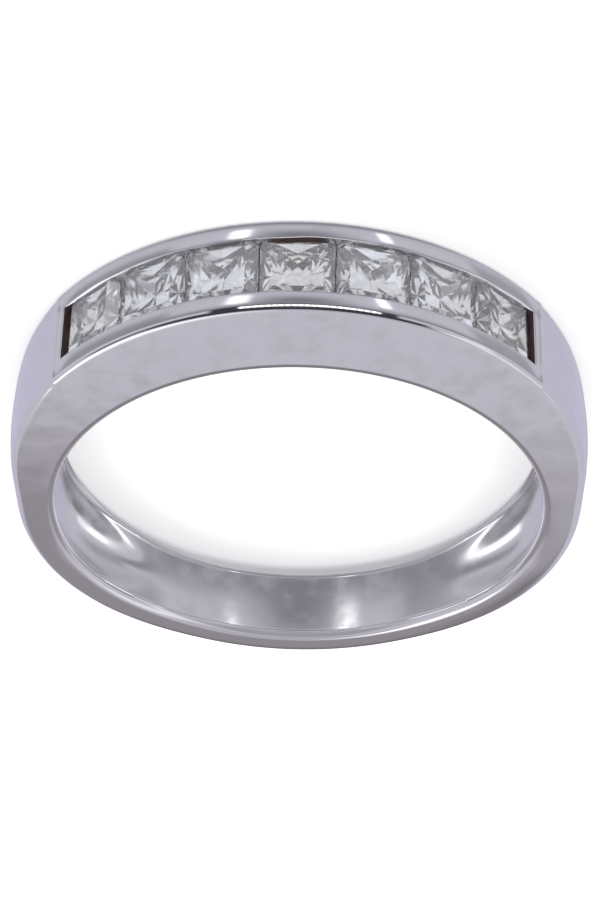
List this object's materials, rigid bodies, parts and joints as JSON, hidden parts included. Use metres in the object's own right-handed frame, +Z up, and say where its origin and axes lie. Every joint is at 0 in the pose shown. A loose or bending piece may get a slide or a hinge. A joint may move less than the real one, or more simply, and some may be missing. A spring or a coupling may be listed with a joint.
{
  "type": "half eternity ring",
  "caption": "Half eternity ring: a polished tapering band whose raised head holds a curved row of princess-cut stones in a channel.",
  "frame": {"origin": "on the axis of the finger hole, in the plane that the side of the head rests on", "axes": "+Z up along the axis of the finger hole, -Y towards the middle of the head and its row of stones, +X along the row's chord"},
  "size_m": [0.0202, 0.0219, 0.0036],
  "materials": {
    "white_gold": "polished",
    "stone": "polished"
  },
  "bodies": {
    "root": {"band": "white_gold", "stone_1": "stone", "stone_2": "stone", "stone_3": "stone", "stone_4": "stone", "stone_5": "stone", "stone_6": "stone", "stone_7": "stone"}
  },
  "joints": []
}
